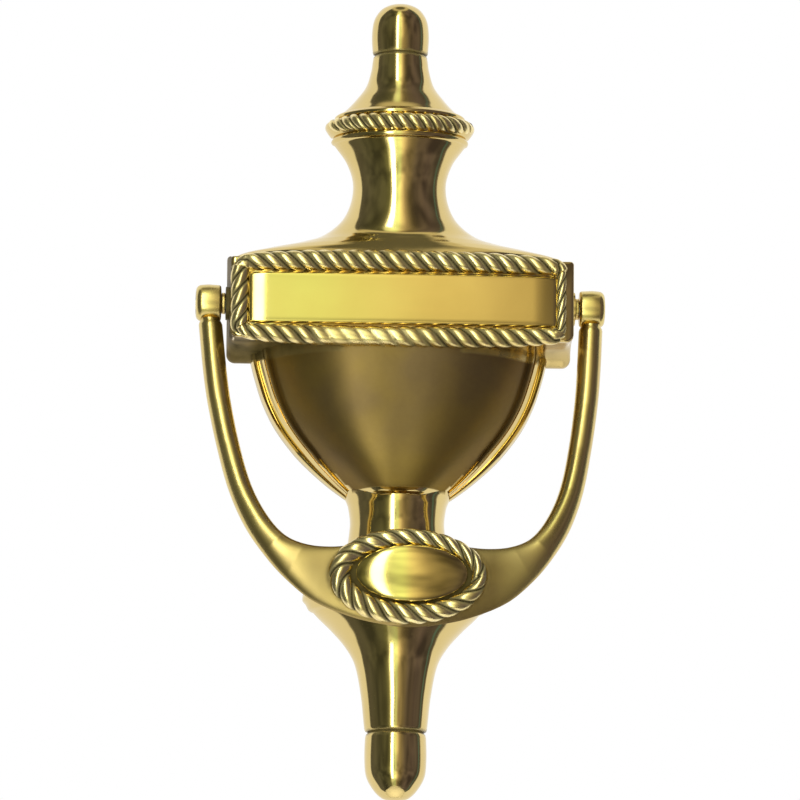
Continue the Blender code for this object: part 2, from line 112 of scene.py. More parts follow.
# Hollow of the casting
HOLLOW = ((-92.0, 3.4, 3.2), (-87.0, 4.4, 4.2), (-72.0, 5.2, 5.0), (-62.0, 7.0, 6.4), (-54.0, 13.2, 10.4),
          (-48.0, 17.6, 13.4), (-43.0, 13.4, 11.2), (-36.0, 8.8, 8.6), (-26.0, 8.4, 8.6), (-20.0, 12.2, 10.2),
          (-10.0, 20.2, 13.2), (0.0, 24.4, 15.2), (8.0, 26.0, 15.4), (28.0, 26.4, 15.0), (33.0, 25.0, 12.4),
          (38.0, 14.8, 9.8), (44.0, 9.6, 8.4), (51.7, 8.2, 7.4), (58.0, 10.4, 8.4), (64.3, 13.0, 9.6),
          (70.0, 8.8, 7.4), (76.0, 4.8, 4.6), (86.0, 3.9, 3.8), (92.0, 2.8, 2.8))

# Plinth as (out from the door, half width, lower edge, upper edge): its underside is a cavetto
PLINTH = ((-BEHIND, 40.4, 8.1, 33.4), (1.4, 40.4, 8.1, 33.4), (2.0, 40.35, 8.4, 33.3), (3.4, 40.3, 9.4, 33.0),
          (5.6, 40.25, 10.3, 32.4), (8.5, 40.2, 10.9, 31.8), (13.0, 40.1, 11.1, 31.0),
          (18.2, 40.0, 11.0, 30.1), (18.6, 39.6, 11.3, 29.7))
PLINTH_DEPTH = 18.6
PLINTH_LOWER_CORNER, PLINTH_UPPER_CORNER = 2.0, 0.8
PLINTH_CORNER_STEPS = 8
PLINTH_RUNS = (6, 30, 6, 30)  # parts of its right side, top, left side and underside
PANEL_HALF = (36.3, 6.05)
PANEL_CENTRE = 20.3
PANEL_FACE = 20.5
PANEL_ROUND, PANEL_CAMBER = 0.8, 0.06
PANEL_CROWN, PANEL_TURN_DOWN, PANEL_TURN = 0.85, 0.48, 0.84
PANEL_NARROWS = 0.7  # height lost near its ends, as a share of the fall there
PANEL_FLAT, PANEL_ENDS = 0.98, 0.02  # shares of its half width with wide and with close steps

# Where the urn is tarnished and dull, and how much: real tarnish at the door and in the hollow, painted shade
# in the grooves, on the bowl, and under and beside the plinth
AT_DOOR = 0.02
# Under and beside the plinth: painted shade, darker towards its left end, in patches
UNDER_PLINTH, UNDER_PLINTH_OUT = (7.9, 11.4), (0.4, 18.0)
BESIDE_PLINTH, PLINTH_FOOT = 39.5, 8.0
# The bowl's face: rougher, and darkened with painted shade
BOWL_FACE, BOWL_FACE_OUT = (-23.0, 9.5), 6.0
HOLLOW_MARGIN = 0.4
GROOVE_REACH, GROOVE_RAGGED = 0.75, 0.6
GROOVE_SHADE, BACK_RESIDUE, HOLLOW_RESIDUE, BOWL_SHADE = 0.9, 0.35, 0.55, 0.22
PLINTH_SHADE, PLINTH_SHADE_FADE, PLINTH_SHADE_PATCHES = 0.35, 0.009, 0.4
PLINTH_DULL_SHADE, PLINTH_RIGHT_LIGHTER, LIGHTER_RUN = 0.7, 0.45, (0.0, 30.0)

# Ropes
FRAME_HALF_WIDTH = 37.7
FRAME_RIGHT_IN, FRAME_LEFT_OUT = 0.6, 0.35
FRAME_LOWER, FRAME_UPPER = 12.6, 28.4
FRAME_RADIUS, FRAME_SWELL, FRAME_ARCH = 1.65, 0.85, 1.1
FRAME_CORNER, FRAME_LEFT_FULLER = 1.6, 0.4
FRAME_SIDE_REACH = 7.0  # the side runs stay within this of the panel's centre, up and down
COLLAR_HEIGHT, COLLAR_HALF_WIDTH, COLLAR_DEPTH, COLLAR_RADIUS = 64.3, 16.0, 11.6, 2.1
COLLAR_RISE = 0.7
COLLAR_THIN, COLLAR_SWELL = 0.68, 0.36  # shares of its radius: at the door, and gained towards the front
COLLAR_END = 0.15  # the collar's rope stops this far in front of the urn's back
FRAME_PITCH, COLLAR_PITCH, WREATH_PITCH = 3.7, 2.6, 3.9
STRANDS_AROUND = 3
ROPE_SIDES, ROPE_SPACING, ROPE_SHARP = 30, 0.2, 50
COLLAR_STEPS, WREATH_STEPS = 60, 120
DRIFT_ALONG, DRIFT_ROUND, STRAND_STEP = 7.1, 0.6, 1.7  # steps through the noise that varies a rope
NEARLY_ALONG_Y = 0.95  # where a rope takes Z as its up
ROPE_CORE, ROPE_RELIEF, ROPE_VARIES = 0.62, 0.42, 0.07  # shares of the rope's radius
ROPE_DRIFT = 0.16  # how far a strand wanders, as a share of its width
STRAND_SHAPE = 0.9
STRAND_GAP = (0.55, 0.92)  # painted shade in the gaps starts and is full here, between a strand's middle and its edge
WORN_RUN = (-22.0, -17.0, -6.0, 9.0)
WORN_MOST, WORN_RELIEF = 0.8, 0.8

# Bail
BAIL_SET = 1.5  # the bail hangs this far to the right at the medallion
MEDALLION_HEIGHT = -46.9
MEDALLION_PLATE = (18.2, 11.2)
MEDALLION_OUT = (24.9, 27.8)
PLATE_EDGE, PLATE_EDGE_STEPS = 1.2, 8
PLATE_FRONT = (0.88, 0.82, 0.76, 0.7, 0.5)  # shares of its size at which the front is divided
WREATH_SIZE, WREATH_RADIUS = (16.2, 8.95), 2.2
WREATH_WIDER_LEFT, WREATH_WIDER_BELOW = 0.35, 0.2
WREATH_RAISED, WREATH_OUT = 0.6, 28.0
PLAQUE_SIZE, PLAQUE_OUT = (12.8, 6.6), (27.0, 31.0)
PLAQUE_RIM, PLAQUE_SHIFT = 29.3, Vector((0.5, 0.0, 1.0))
PLAQUE_STEPS, PLAQUE_SHAPE = 24, 0.75
# Where the bail has painted shade: shares of the wreath's own oval, and distances out
PLAQUE_BED, BED_OUT, BED_SHADE = 0.98, 26.5, 0.95
WREATH_EDGE, WREATH_EDGE_REACH, EDGE_OUT, EDGE_SHADE = 1.16, 0.05, 26.0, 0.5
# Painted shade on the cheeks beside the medallion, the right one darker
CHEEK_ACROSS, CHEEK_DOWN = (35.0, 21.0), (-30.0, -44.0)
LEFT_CHEEK_SHADE, RIGHT_CHEEK_SHADE, RIGHT_CHEEK_DARK_SHADE = 0.6, 0.95, 0.35

# Arms and eyes of the bail
ARM_OUTER = ((47.4, 17.0), (46.5, 5.0), (45.6, -3.0), (43.7, -14.0), (41.2, -25.0), (37.8, -34.0),
             (33.6, -41.0), (28.6, -47.0), (22.3, -52.2), (13.0, -56.0), (4.0, -57.9))
ARM_INNER = ((41.9, 17.0), (41.0, 5.0), (40.2, -2.5), (38.5, -13.0), (36.0, -23.5), (32.8, -31.0),
             (28.7, -36.5), (24.0, -38.9), (18.0, -39.6), (11.0, -39.0), (4.0, -38.6))
ARM_OUT = (8.2, 9.6, 10.9, 14.0, 18.0, 21.6, 24.4, 25.8, 26.4, 26.6, 26.6)
ARM_THICK = (6.6, 6.2, 5.8, 5.6, 5.6, 5.4, 5.0, 4.4, 3.8, 3.4, 3.2)
ARM_RING, ARM_SQUARENESS = 40, 2.2
ARM_STEPS = 24
NOTCH_HEIGHT, NOTCH_LENGTH = 16.4, 0.7
NOTCH_SIZE, NOTCH_RISE = 0.86, 0.15  # shares of the arm's size: in the notch, and gained below it
EYE_RADIUS, EYE_FACES, EYE_CROWN = 4.4, (42.0, 47.9), 0.12
EYE_EDGES = (0.6, 1.4)
KNOB_RADIUS, KNOB_OUT, KNOB_EDGE, KNOB_FLARE = 4.4, (18.9, 26.0), 0.9, 0.4
STRIKE_RADIUS, STRIKE_OUT, STRIKE_HEIGHT, STRIKE_EDGE = 5.2, (12.0, 18.6), -47.85, 0.8

# Pivots and fixings
PIN_RADIUS, PIN_HEAD, PIN_EDGES = 1.5, 0.8, (0.3, 0.5)
EYE_CLEARANCE = 0.08
SPACER_LIP, SPACER_PROUD, SPACER_EDGE = 0.2, 0.1, 0.25
BORE_CLEARANCE = 0.3
LUG_RADIUS, LUG_FACES = 3.9, (33.0, 40.9)
BOSS_RADIUS, BOSS_TOPS = 5.2, {"upper": 10.0, "lower": 12.0}
THREAD_PITCH, THREAD_DEPTH, THREAD_CHAMFER = 0.8, 0.45, 0.5
THREAD_SIDES, THREAD_ROWS = 32, 8
WASHER_EDGE = 0.2
NUT_DOME, NUT_DOME_RADIUS, NUT_DOME_STEPS, NUT_DOME_SUNK, NUT_TIP = 3.8, 3.75, 14, 1.0, 0.1
NUT_FOOT_CHAMFER, NUT_TOP_CHAMFER, NUT_TOP_INSET = 0.5, 0.3, 0.2
NUT_SPARE, NUT_LAP = 0.1, 0.01  # how far the cone that turns a nut's corners down runs past the nut
OUTWARD, INWARD = (0, -1, 0), (0, 1, 0)

# The body, slot and replaced node of what each casting shows
URN, BAIL = ("urn", "urn_brass", "urn_body"), ("bail", "bail_brass", "knocker_bail")


# Mesh helpers

def scaled_mesh(bm, name):
    bmesh.ops.recalc_face_normals(bm, faces=bm.faces)
    bmesh.ops.scale(bm, verts=bm.verts, vec=(MM, MM, MM))
    mesh = bpy.data.meshes.new(name)
    bm.to_mesh(mesh)
    bm.free()
    return mesh


def smooth_run(points, steps=SPAN_STEPS):
    """The points of a run with steps between each two, on a cubic that suits uneven spans."""
    points = [Vector(point) for point in points]
    ends = [2 * points[0] - points[1], *points, 2 * points[-1] - points[-2]]
    run = []
    for i in range(len(points) - 1):
        before, first, second, after = ends[i:i + 4]
        span = (second - first).length
        leave = (second - before) * span / ((first - before).length + span)
        arrive = (after - first) * span / ((after - second).length + span)
        for step in range(steps):
            t = step / steps
            run.append(first * (2 * t ** 3 - 3 * t ** 2 + 1) + leave * (t ** 3 - 2 * t ** 2 + t)
                       + second * (3 * t ** 2 - 2 * t ** 3) + arrive * (t ** 3 - t ** 2))
    return [*run, points[-1]]


def loft(name, rings):
    """A mesh through closed rings of equal count, with a face over each end."""
    bm = bmesh.new()
    levels = [[bm.verts.new(point) for point in ring] for ring in rings]
    for lower, upper in zip(levels, levels[1:]):
        for i in range(len(lower)):
            j = (i + 1) % len(lower)
            bm.faces.new((lower[i], lower[j], upper[j], upper[i]))
    bm.faces.new(list(reversed(levels[0])))
    bm.faces.new(levels[-1])
    return scaled_mesh(bm, name)


def half_ring(height, half_width, depth, back):
    angles = [math.pi * (step + 0.5) / ARC_STEPS for step in range(ARC_STEPS)]
    front = [Vector((half_width * math.cos(a), -depth * math.sin(a), height)) for a in angles]
    return [*front, Vector((-half_width, back, height)), Vector((half_width, back, height))]


def half_turned(name, levels, back=BEHIND):
    return loft(name, [half_ring(*level, back) for level in levels])


def block_ring(half_width, lower, upper, out):
    corners = ((-half_width, lower), (half_width, lower), (half_width, upper), (-half_width, upper))
    return [Vector((x, -out, z)) for x, z in corners]


def turned(name, outline, centre, axis, sides=64):
    """A closed turned piece: outline is (radius, distance along axis), from one end to the other."""
    turn = Vector((0, 0, 1)).rotation_difference(Vector(axis)).to_matrix()
    rings = []
    for radius, along in outline:
        ring = [Vector((radius * math.cos(a), radius * math.sin(a), along))
                for a in (2 * math.pi * step / sides for step in range(sides))]
        rings.append([turn @ point + Vector(centre) for point in ring])
    return loft(name, rings)


def tube(name, outline, hole, centre, axis, sides=64):
    """As turned, with a hole of this radius right through it."""
    turn = Vector((0, 0, 1)).rotation_difference(Vector(axis)).to_matrix()
    first, last = outline[0][1], outline[-1][1]
    section = [(hole, first), *outline, (hole, last)]
    bm = bmesh.new()
    rows = []
    for step in range(sides):
        a = 2 * math.pi * step / sides
        rows.append([bm.verts.new(turn @ Vector((r * math.cos(a), r * math.sin(a), h)) + Vector(centre))
                     for r, h in section])
    for one, two in zip(rows, [*rows[1:], rows[0]]):
        for i in range(len(section)):
            j = (i + 1) % len(section)
            bm.faces.new((one[i], one[j], two[j], two[i]))
    return scaled_mesh(bm, name)


def rounded_end(radius, edge, end, sign):
    """Outline points that round a turned piece's edge at one end; sign is +1 at its far end."""
    points = [(radius - edge * (1 - math.cos(a)), end - sign * edge * (1 - math.sin(a)))
              for a in (math.pi / 2 * step / EDGE_STEPS for step in range(EDGE_STEPS + 1))]
    return points if sign > 0 else list(reversed(points))


def rounded_cylinder(radius, start, end, edge):
    return [*rounded_end(radius, edge, start, -1), *rounded_end(radius, edge, end, 1)]


def in_scene(name, data):
    obj = bpy.data.objects.new(name, data)
    bpy.context.scene.collection.objects.link(obj)
    return obj


def new_piece(name, mesh, material, body, slot, *nodes, sharp=38):
    obj = in_scene(name, mesh)
    mesh.materials.clear()
    mesh.materials.append(material)
    mesh.shade_smooth()
    mesh.set_sharp_from_angle(angle=math.radians(sharp))
    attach(obj, body)
    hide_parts(*nodes)
    return obj


def combined(base, steps):
    """The mesh of base joined with, or cut by, each (operation, mesh) in turn."""
    obj = in_scene("work", base)
    tools = []
    for operation, mesh in steps:
        tool = in_scene("tool", mesh)
        modifier = obj.modifiers.new("step", "BOOLEAN")
        modifier.operation = operation
        modifier.solver = "MANIFOLD"
        modifier.object = tool
        tools.append(tool)
    bpy.context.view_layer.update()
    made = bpy.data.meshes.new_from_object(obj.evaluated_get(bpy.context.evaluated_depsgraph_get()))
    for each in (obj, *tools):
        bpy.data.objects.remove(each)
    return made


def share_between(value, start, end):
    return min(1.0, max(0.0, (value - start) / (end - start)))


def tint(mesh, name, rule):
    """Stores rule(point in mm), from 0 to 1, at each vertex, for the material to read."""
    layer = mesh.attributes.new(name, "FLOAT", "POINT")
    for vertex, value in zip(mesh.vertices, layer.data):
        value.value = min(1.0, max(0.0, rule(vertex.co / MM)))


# Materials

def node(tree, kind, **settings):
    """A new shader node; settings go to its properties or inputs."""
    made = tree.nodes.new(f"ShaderNode{kind}")
    for name, value in settings.items():
        if hasattr(made, name):
            setattr(made, name, value)
        else:
            made.inputs[name].default_value = value
    return made


def ramp(tree, value, low, high, start=0.0, end=1.0):
    """Maps value from start..end to low..high."""
    made = node(tree, "MapRange")
    for socket, limit in (("From Min", start), ("From Max", end), ("To Min", low), ("To Max", high)):
        made.inputs[socket].default_value = limit
    tree.links.new(value, made.inputs["Value"])
    return made.outputs["Result"]


def blend_colours(tree, share, first, second):
    made = node(tree, "Mix", data_type="RGBA")
    tree.links.new(share, made.inputs["Factor"])
    for socket, colour in ((made.inputs["A"], first), (made.inputs["B"], second)):
        if isinstance(colour, tuple):
            socket.default_value = (*colour, 1.0)
        else:
            tree.links.new(colour, socket)
    return made.outputs["Result"]


def add_up(tree, *values):
    total = values[0]
    for value in values[1:]:
        made = node(tree, "Math", operation="ADD")
        tree.links.new(total, made.inputs[0])
        tree.links.new(value, made.inputs[1])
        total = made.outputs[0]
    return total


def noise_value(tree, coordinates, scale, detail, stretch=None):
    if stretch:
        mapping = node(tree, "Mapping", Scale=stretch)
        tree.links.new(coordinates, mapping.inputs["Vector"])
        coordinates = mapping.outputs["Vector"]
    made = node(tree, "TexNoise", Scale=scale, Detail=detail)
    tree.links.new(coordinates, made.inputs["Vector"])
    return made.outputs["Fac"]


WHITE = (1.0, 1.0, 1.0)
# Dull-finish and residue colours: real tarnish and dullness at the back and in the hollow, painted shade
# elsewhere
DULL_AND_SHADE_WARM, DULL_AND_SHADE_COOL, DULL_AND_SHADE_EDGE = (0.32, 0.215, 0.06), (0.23, 0.155, 0.075), (0.55, 0.40, 0.20)
BRASS_RESIDUE_AND_SHADE, ROPE_GAP_SHADE, STEEL_RESIDUE = (0.10, 0.08, 0.03), (0.030, 0.022, 0.010), (0.12, 0.11, 0.10)
DRIFT_SCALE, PATCH_SCALE, WAVE_SCALE, PIT_SCALE = 55.0, 38.0, 85.0, 900.0  # per metre
PIT_SHADE = 0.6
# The parts of a noise's range over which a ramp turns
MIDDLE, WIDE, NARROW = (0.35, 0.65), (0.3, 0.7), (0.38, 0.62)
LINE_RANGE, PIT_RANGE = (0.35, 0.75), (0.25, 0.5)
RESIDUE_AND_SHADE_ROUGHNESS, DULL_AND_SHADE_ROUGHNESS = 0.3, 0.25
RESIDUE_AND_SHADE_SHINE = (0.5, 0.02)  # clean, and under full residue and painted shade
LINE_STRENGTH, WAVE_STRENGTH = 0.35, 1.0


def metal(name, light, deep, rough, wear, bump_mm, stretch, tarnish_and_shade=BRASS_RESIDUE_AND_SHADE, wave_mm=0.10):
    """A metal with slow colour drift, hand-polished waves, fine lines and small pits.

    Its mesh may hold two values: one brings dark residue, partly real tarnish and partly painted shade; the
    other a dull finish, partly real and partly painted shade in its colour.
    """
    material = bpy.data.materials.new(name)
    material.use_nodes = True
    tree = material.node_tree
    shader = tree.nodes["Principled BSDF"]
    place = node(tree, "TexCoord").outputs["Object"]
    drift = noise_value(tree, place, DRIFT_SCALE, 3.0)
    lines = noise_value(tree, place, 1.0, 4.0, stretch)
    pits = noise_value(tree, place, PIT_SCALE, 2.0)
    residue_and_shade = node(tree, "Attribute", attribute_name="tarnish_and_shade").outputs["Fac"]
    dullness_and_shade = node(tree, "Attribute", attribute_name="dullness_and_shade").outputs["Fac"]
    clean = blend_colours(tree, ramp(tree, drift, 0.0, 1.0, *MIDDLE), light, deep)
    dulled_and_shaded = blend_colours(tree, dullness_and_shade, clean, dull_and_shade_colour(tree, place))
    shaded = tuple(PIT_SHADE * channel for channel in tarnish_and_shade)
    dirty = blend_colours(tree, ramp(tree, pits, 0.0, 1.0, *WIDE), tarnish_and_shade, shaded)
    roughness = add_up(tree, ramp(tree, drift, *rough, *WIDE), ramp(tree, lines, 0.0, wear, *LINE_RANGE),
                       ramp(tree, residue_and_shade, 0.0, RESIDUE_AND_SHADE_ROUGHNESS), ramp(tree, dullness_and_shade, 0.0, DULL_AND_SHADE_ROUGHNESS))
    for result, socket in (
        (blend_colours(tree, residue_and_shade, dulled_and_shaded, dirty), "Base Color"),
        (blend_colours(tree, dullness_and_shade, WHITE, DULL_AND_SHADE_EDGE), "Specular Tint"),
        (ramp(tree, residue_and_shade, 1.0, 0.0), "Metallic"),
        (ramp(tree, residue_and_shade, *RESIDUE_AND_SHADE_SHINE), "Specular IOR Level"),
        (roughness, "Roughness"),
        (worked_surface(tree, place, lines, pits, bump_mm, wave_mm), "Normal"),
    ):
        tree.links.new(result, shader.inputs[socket])
    return material


def dull_and_shade_colour(tree, place):
    patches = noise_value(tree, place, PATCH_SCALE, 3.0)
    return blend_colours(tree, ramp(tree, patches, 0.0, 1.0, *NARROW), DULL_AND_SHADE_WARM, DULL_AND_SHADE_COOL)


def worked_surface(tree, place, lines, pits, bump_mm, wave_mm):
    """The normal of a surface with fine lines and pits over slow waves."""
    waves = bump(tree, noise_value(tree, place, WAVE_SCALE, 1.0), WAVE_STRENGTH, wave_mm)
    fine = bump(tree, add_up(tree, ramp(tree, lines, 0.0, 0.5), ramp(tree, pits, 0.0, 0.5, *PIT_RANGE)),
                LINE_STRENGTH, bump_mm)
    tree.links.new(waves.outputs["Normal"], fine.inputs["Normal"])
    return fine.outputs["Normal"]


def bump(tree, height, strength, distance_mm):
    made = node(tree, "Bump", Strength=strength, Distance=distance_mm * MM)
    tree.links.new(height, made.inputs["Height"])
    return made


BRASS_LIGHT = (0.75, 0.585, 0.25)
BRASS_DEEP = (0.69, 0.53, 0.21)
CAST_BRASS = metal("urn_cast_brass", BRASS_LIGHT, BRASS_DEEP, rough=(0.06, 0.11), wear=0.04, bump_mm=0.006,
                   stretch=(260.0, 260.0, 60.0), wave_mm=0.16)
BAIL_BRASS = metal("bail_cast_brass", (0.76, 0.61, 0.23), BRASS_DEEP, rough=(0.21, 0.28), wear=0.05,
                   bump_mm=0.008, stretch=(220.0, 220.0, 90.0))
# A lighter copy of the cast brass: painted light that makes the ropes and their highlights brighter
ROPE_LIGHTENED_BRASS = metal("rope_lightened_brass", (0.97, 0.83, 0.43), (0.86, 0.69, 0.30), rough=(0.19, 0.30), wear=0.06,
                   bump_mm=0.03, stretch=(300.0, 300.0, 300.0), tarnish_and_shade=ROPE_GAP_SHADE)
PANEL_BRASS = metal("panel_satin_brass", (0.70, 0.55, 0.19), (0.67, 0.51, 0.17), rough=(0.08, 0.12),
                    wear=0.02, bump_mm=0.003, stretch=(90.0, 400.0, 700.0), wave_mm=0.03)
TURNED_BRASS = metal("turned_brass", (0.74, 0.57, 0.24), (0.66, 0.49, 0.19), rough=(0.18, 0.28), wear=0.08,
                     bump_mm=0.02, stretch=(900.0, 120.0, 900.0), wave_mm=0.02)
STEEL = metal("zinc_steel", (0.60, 0.61, 0.62), (0.46, 0.47, 0.48), rough=(0.24, 0.38), wear=0.10,
              bump_mm=0.02, stretch=(700.0, 90.0, 700.0), tarnish_and_shade=STEEL_RESIDUE, wave_mm=0.02)


# Ropes

def even_path(corners, closed, spacing):
    """Points along the polyline at even spacing, each with its share of the whole length."""
    points = [Vector(point) for point in corners]
    if closed:
        points.append(points[0])
    lengths = [(b - a).length for a, b in zip(points, points[1:])]
    total = sum(lengths)
    count = max(8, round(total / spacing))
    path, segment, walked = [], 0, 0.0
    for i in range(count if closed else count + 1):
        target = total * i / count
        while segment < len(lengths) - 1 and walked + lengths[segment] < target:
            walked += lengths[segment]
            segment += 1
        share = min(1.0, (target - walked) / lengths[segment])
        path.append(points[segment].lerp(points[segment + 1], share))
    return path, total


def across_rope(path, i, closed):
    """Two directions across a rope at a point of its path: away from the door, and sideways."""
    ahead = path[(i + 1) % len(path)] if closed or i < len(path) - 1 else path[i]
    behind = path[i - 1] if closed or i > 0 else path[i]
    along = (ahead - behind).normalized()
    out = Vector((0, -1, 0))
    slope = out.dot(along)
    up = (out - along * slope).normalized() if abs(slope) < NEARLY_ALONG_Y else Vector((0, 0, 1))
    return up, along.cross(up)


def rope(name, corners, closed, radius_at, pitch, seed, worn_at=lambda point: 0.0):
    """A twisted rope along corners, with its radius and its wear, from 0 to 1, given at each point."""
    path, total = even_path(corners, closed, ROPE_SPACING)
    strands = round(total / pitch)
    count = len(path)
    bm = bmesh.new()
    rings, gap_shade = [], []
    for i, point in enumerate(path):
        up, side = across_rope(path, i, closed)
        radius = radius_at(point)
        worn = worn_at(point)
        ring = []
        for step in range(ROPE_SIDES):
            angle = 2 * math.pi * step / ROPE_SIDES
            turns = strands * i / count - STRANDS_AROUND * angle / (2 * math.pi)
            place = Vector((seed, DRIFT_ALONG * i / count, DRIFT_ROUND * math.cos(angle)))
            drift = ROPE_DRIFT * noise.noise(place)
            strand = math.floor(turns + drift)
            across = 2 * (turns + drift - strand) - 1
            own = noise.noise(Vector((seed + 3.3, STRAND_STEP * (strand % strands), 0.4)))
            bulge = math.sqrt(max(0.0, 1 - across ** 2))
            relief = worn * WORN_RELIEF + (1 - worn) * bulge ** STRAND_SHAPE
            size = radius * (ROPE_CORE + ROPE_RELIEF * relief + ROPE_VARIES * own)
            ring.append(bm.verts.new(point + size * (math.cos(angle) * up + math.sin(angle) * side)))
            # Painted shade darkens the gaps between strands, where the rope is not worn
            gap_shade.append((1 - worn) * share_between(abs(across), *STRAND_GAP))
        rings.append(ring)
    pairs = list(zip(rings, rings[1:]))
    if closed:
        pairs.append((rings[-1], rings[0]))
    for one, two in pairs:
        for step in range(ROPE_SIDES):
            j = (step + 1) % ROPE_SIDES
            bm.faces.new((one[step], one[j], two[j], two[step]))
    if not closed:
        bm.faces.new(list(reversed(rings[0])))
        bm.faces.new(rings[-1])
    mesh = scaled_mesh(bm, name)
    layer = mesh.attributes.new("tarnish_and_shade", "FLOAT", "POINT")
    layer.data.foreach_set("value", gap_shade)
    return mesh


def arch(x, half_width):
    return math.sqrt(max(0.0, 1 - (x / half_width) ** 2))


def frame_x(x):
    """The cast frame sits slightly in from the plinth's edge on its right side, and out on its left."""
    share = x / FRAME_HALF_WIDTH
    return x - FRAME_RIGHT_IN * max(0.0, share) + FRAME_LEFT_OUT * min(0.0, share)


def frame_corners():
    """The centre line of the rope round the panel: arched above and below, with small round corners."""
    steps, turn_steps = 48, 6
    corners = []
    inner = FRAME_HALF_WIDTH - FRAME_CORNER
    for level, sign in ((FRAME_UPPER, 1), (FRAME_LOWER, -1)):
        for step in range(steps + 1):
            x = sign * inner * (2 * step / steps - 1)
            corners.append((frame_x(x), -PLINTH_DEPTH, level + sign * FRAME_ARCH * arch(x, FRAME_HALF_WIDTH)))
        for step in range(1, turn_steps):
            turn = math.pi / 2 * (1 - step / turn_steps)
            corners.append((frame_x(sign * (inner + FRAME_CORNER * math.cos(turn))), -PLINTH_DEPTH,
                            level - sign * FRAME_CORNER * (1 - math.sin(turn))))
        for step in range(1, turn_steps):
            turn = math.pi / 2 * step / turn_steps
            corners.append((frame_x(sign * (inner + FRAME_CORNER * math.cos(turn))), -PLINTH_DEPTH,
                            (FRAME_UPPER + FRAME_LOWER - level) + sign * FRAME_CORNER * (1 - math.sin(turn))))
    return corners


def frame_radius(p):
    """The rope swells to mid-span above and below, and is fuller down its left side than its right."""
    if abs(p.z - PANEL_CENTRE) > FRAME_SIDE_REACH:
        return FRAME_RADIUS + FRAME_SWELL * arch(p.x, FRAME_HALF_WIDTH)
    return FRAME_RADIUS - FRAME_LEFT_FULLER * math.copysign(1.0, p.x)


def frame_wear(p):
    """The lower run is worn nearly smooth over a stretch left of the middle."""
    if p.z > PANEL_CENTRE - FRAME_SIDE_REACH:
        return 0.0
    start, full_from, full_to, end = WORN_RUN
    return WORN_MOST * share_between(p.x, start, full_from) * share_between(p.x, end, full_to)


def collar_radius(p):
    return COLLAR_RADIUS * (COLLAR_THIN + COLLAR_SWELL * min(1.0, -p.y / COLLAR_DEPTH))


def wreath_radius(p):
    left = (bail_set(MEDALLION_HEIGHT) - p.x) / WREATH_SIZE[0]
    below = (MEDALLION_HEIGHT - p.z) / WREATH_SIZE[1]
    return WREATH_RADIUS + WREATH_WIDER_LEFT * left + WREATH_WIDER_BELOW * below


def make_ropes():
    corners = frame_corners()
    mesh = rope("panel_rope", corners, True, frame_radius, FRAME_PITCH, seed=1.3, worn_at=frame_wear)
    new_piece("panel_rope", mesh, ROPE_LIGHTENED_BRASS, *URN, sharp=ROPE_SHARP)
    angles = [math.pi * step / COLLAR_STEPS for step in range(COLLAR_STEPS + 1)]
    corners = [(-COLLAR_HALF_WIDTH * math.cos(a), -COLLAR_DEPTH * math.sin(a),
                COLLAR_HEIGHT + COLLAR_RISE * (1 - math.sin(a))) for a in angles]
    collar = rope("collar_rope", corners, False, collar_radius, COLLAR_PITCH, seed=4.7)
    collar = combined(collar, [("DIFFERENCE", door_block(COLLAR_END))])
    new_piece("collar_rope", collar, ROPE_LIGHTENED_BRASS, *URN, sharp=ROPE_SHARP)


def door_block(front=0.0):
    """Everything behind the door's face, or behind a plane this far in front of it."""
    depth, reach = 30.0, 120.0
    return loft("door_block", [block_ring(reach, -reach, reach, out) for out in (front, -depth)])


# Urn

def bowl_ring(height, half_width, depth):
    """Half of a horizontal cut through the bowl, mirrored: flange, moulding, then the dome."""
    shrink = min(1.0, half_width / FLANGE_FULL)
    side = [Vector((half_width - inset * shrink, -out * shrink, height)) for inset, out in FLANGE_SECTION]
    start = half_width - FLANGE_REACH * shrink
    floor = DOME_START * shrink
    dome = []
    for step in range(DOME_STEPS):
        share = 1 - step / DOME_STEPS
        rise = 1 - share ** DOME_FLATNESS
        dome.append(Vector((start * share, -floor - (depth - floor) * rise, height)))
    right = [*side, *dome]
    left = [Vector((-p.x, p.y, p.z)) for p in reversed(right)]
    front = Vector((0.0, -depth, height))
    return [Vector((half_width, BEHIND, height)), *right, front, *left, Vector((-half_width, BEHIND, height))]


def plinth_mesh():
    rings = []
    for out, half_width, lower, upper in smooth_run(PLINTH, COARSE_STEPS):
        rings.append(rounded_block(half_width, lower, upper, out))
    return loft("plinth", rings)


def rounded_block(half_width, lower, upper, out):
    """A ring facing the door, as a rectangle with round corners and with its straight runs divided."""
    arcs = []
    corners = ((1, lower, 1, -90), (1, upper, -1, 0), (-1, upper, -1, 90), (-1, lower, 1, 180))
    for sx, level, sz, start in corners:
        corner = PLINTH_LOWER_CORNER if level == lower else PLINTH_UPPER_CORNER
        turns = [math.radians(start + 90 * step / PLINTH_CORNER_STEPS)
                 for step in range(PLINTH_CORNER_STEPS + 1)]
        arcs.append([Vector((sx * (half_width - corner) + corner * math.cos(a), -out,
                             level + sz * corner + corner * math.sin(a))) for a in turns])
    ring = []
    for arc, following, parts in zip(arcs, [*arcs[1:], arcs[0]], PLINTH_RUNS):
        ring += arc
        ring += [arc[-1].lerp(following[0], part / parts) for part in range(1, parts)]
    return ring


def cylinder(radius, start, end, centre, axis):
    return turned("cylinder", [(radius, start), (radius, end)], centre, axis, sides=48)


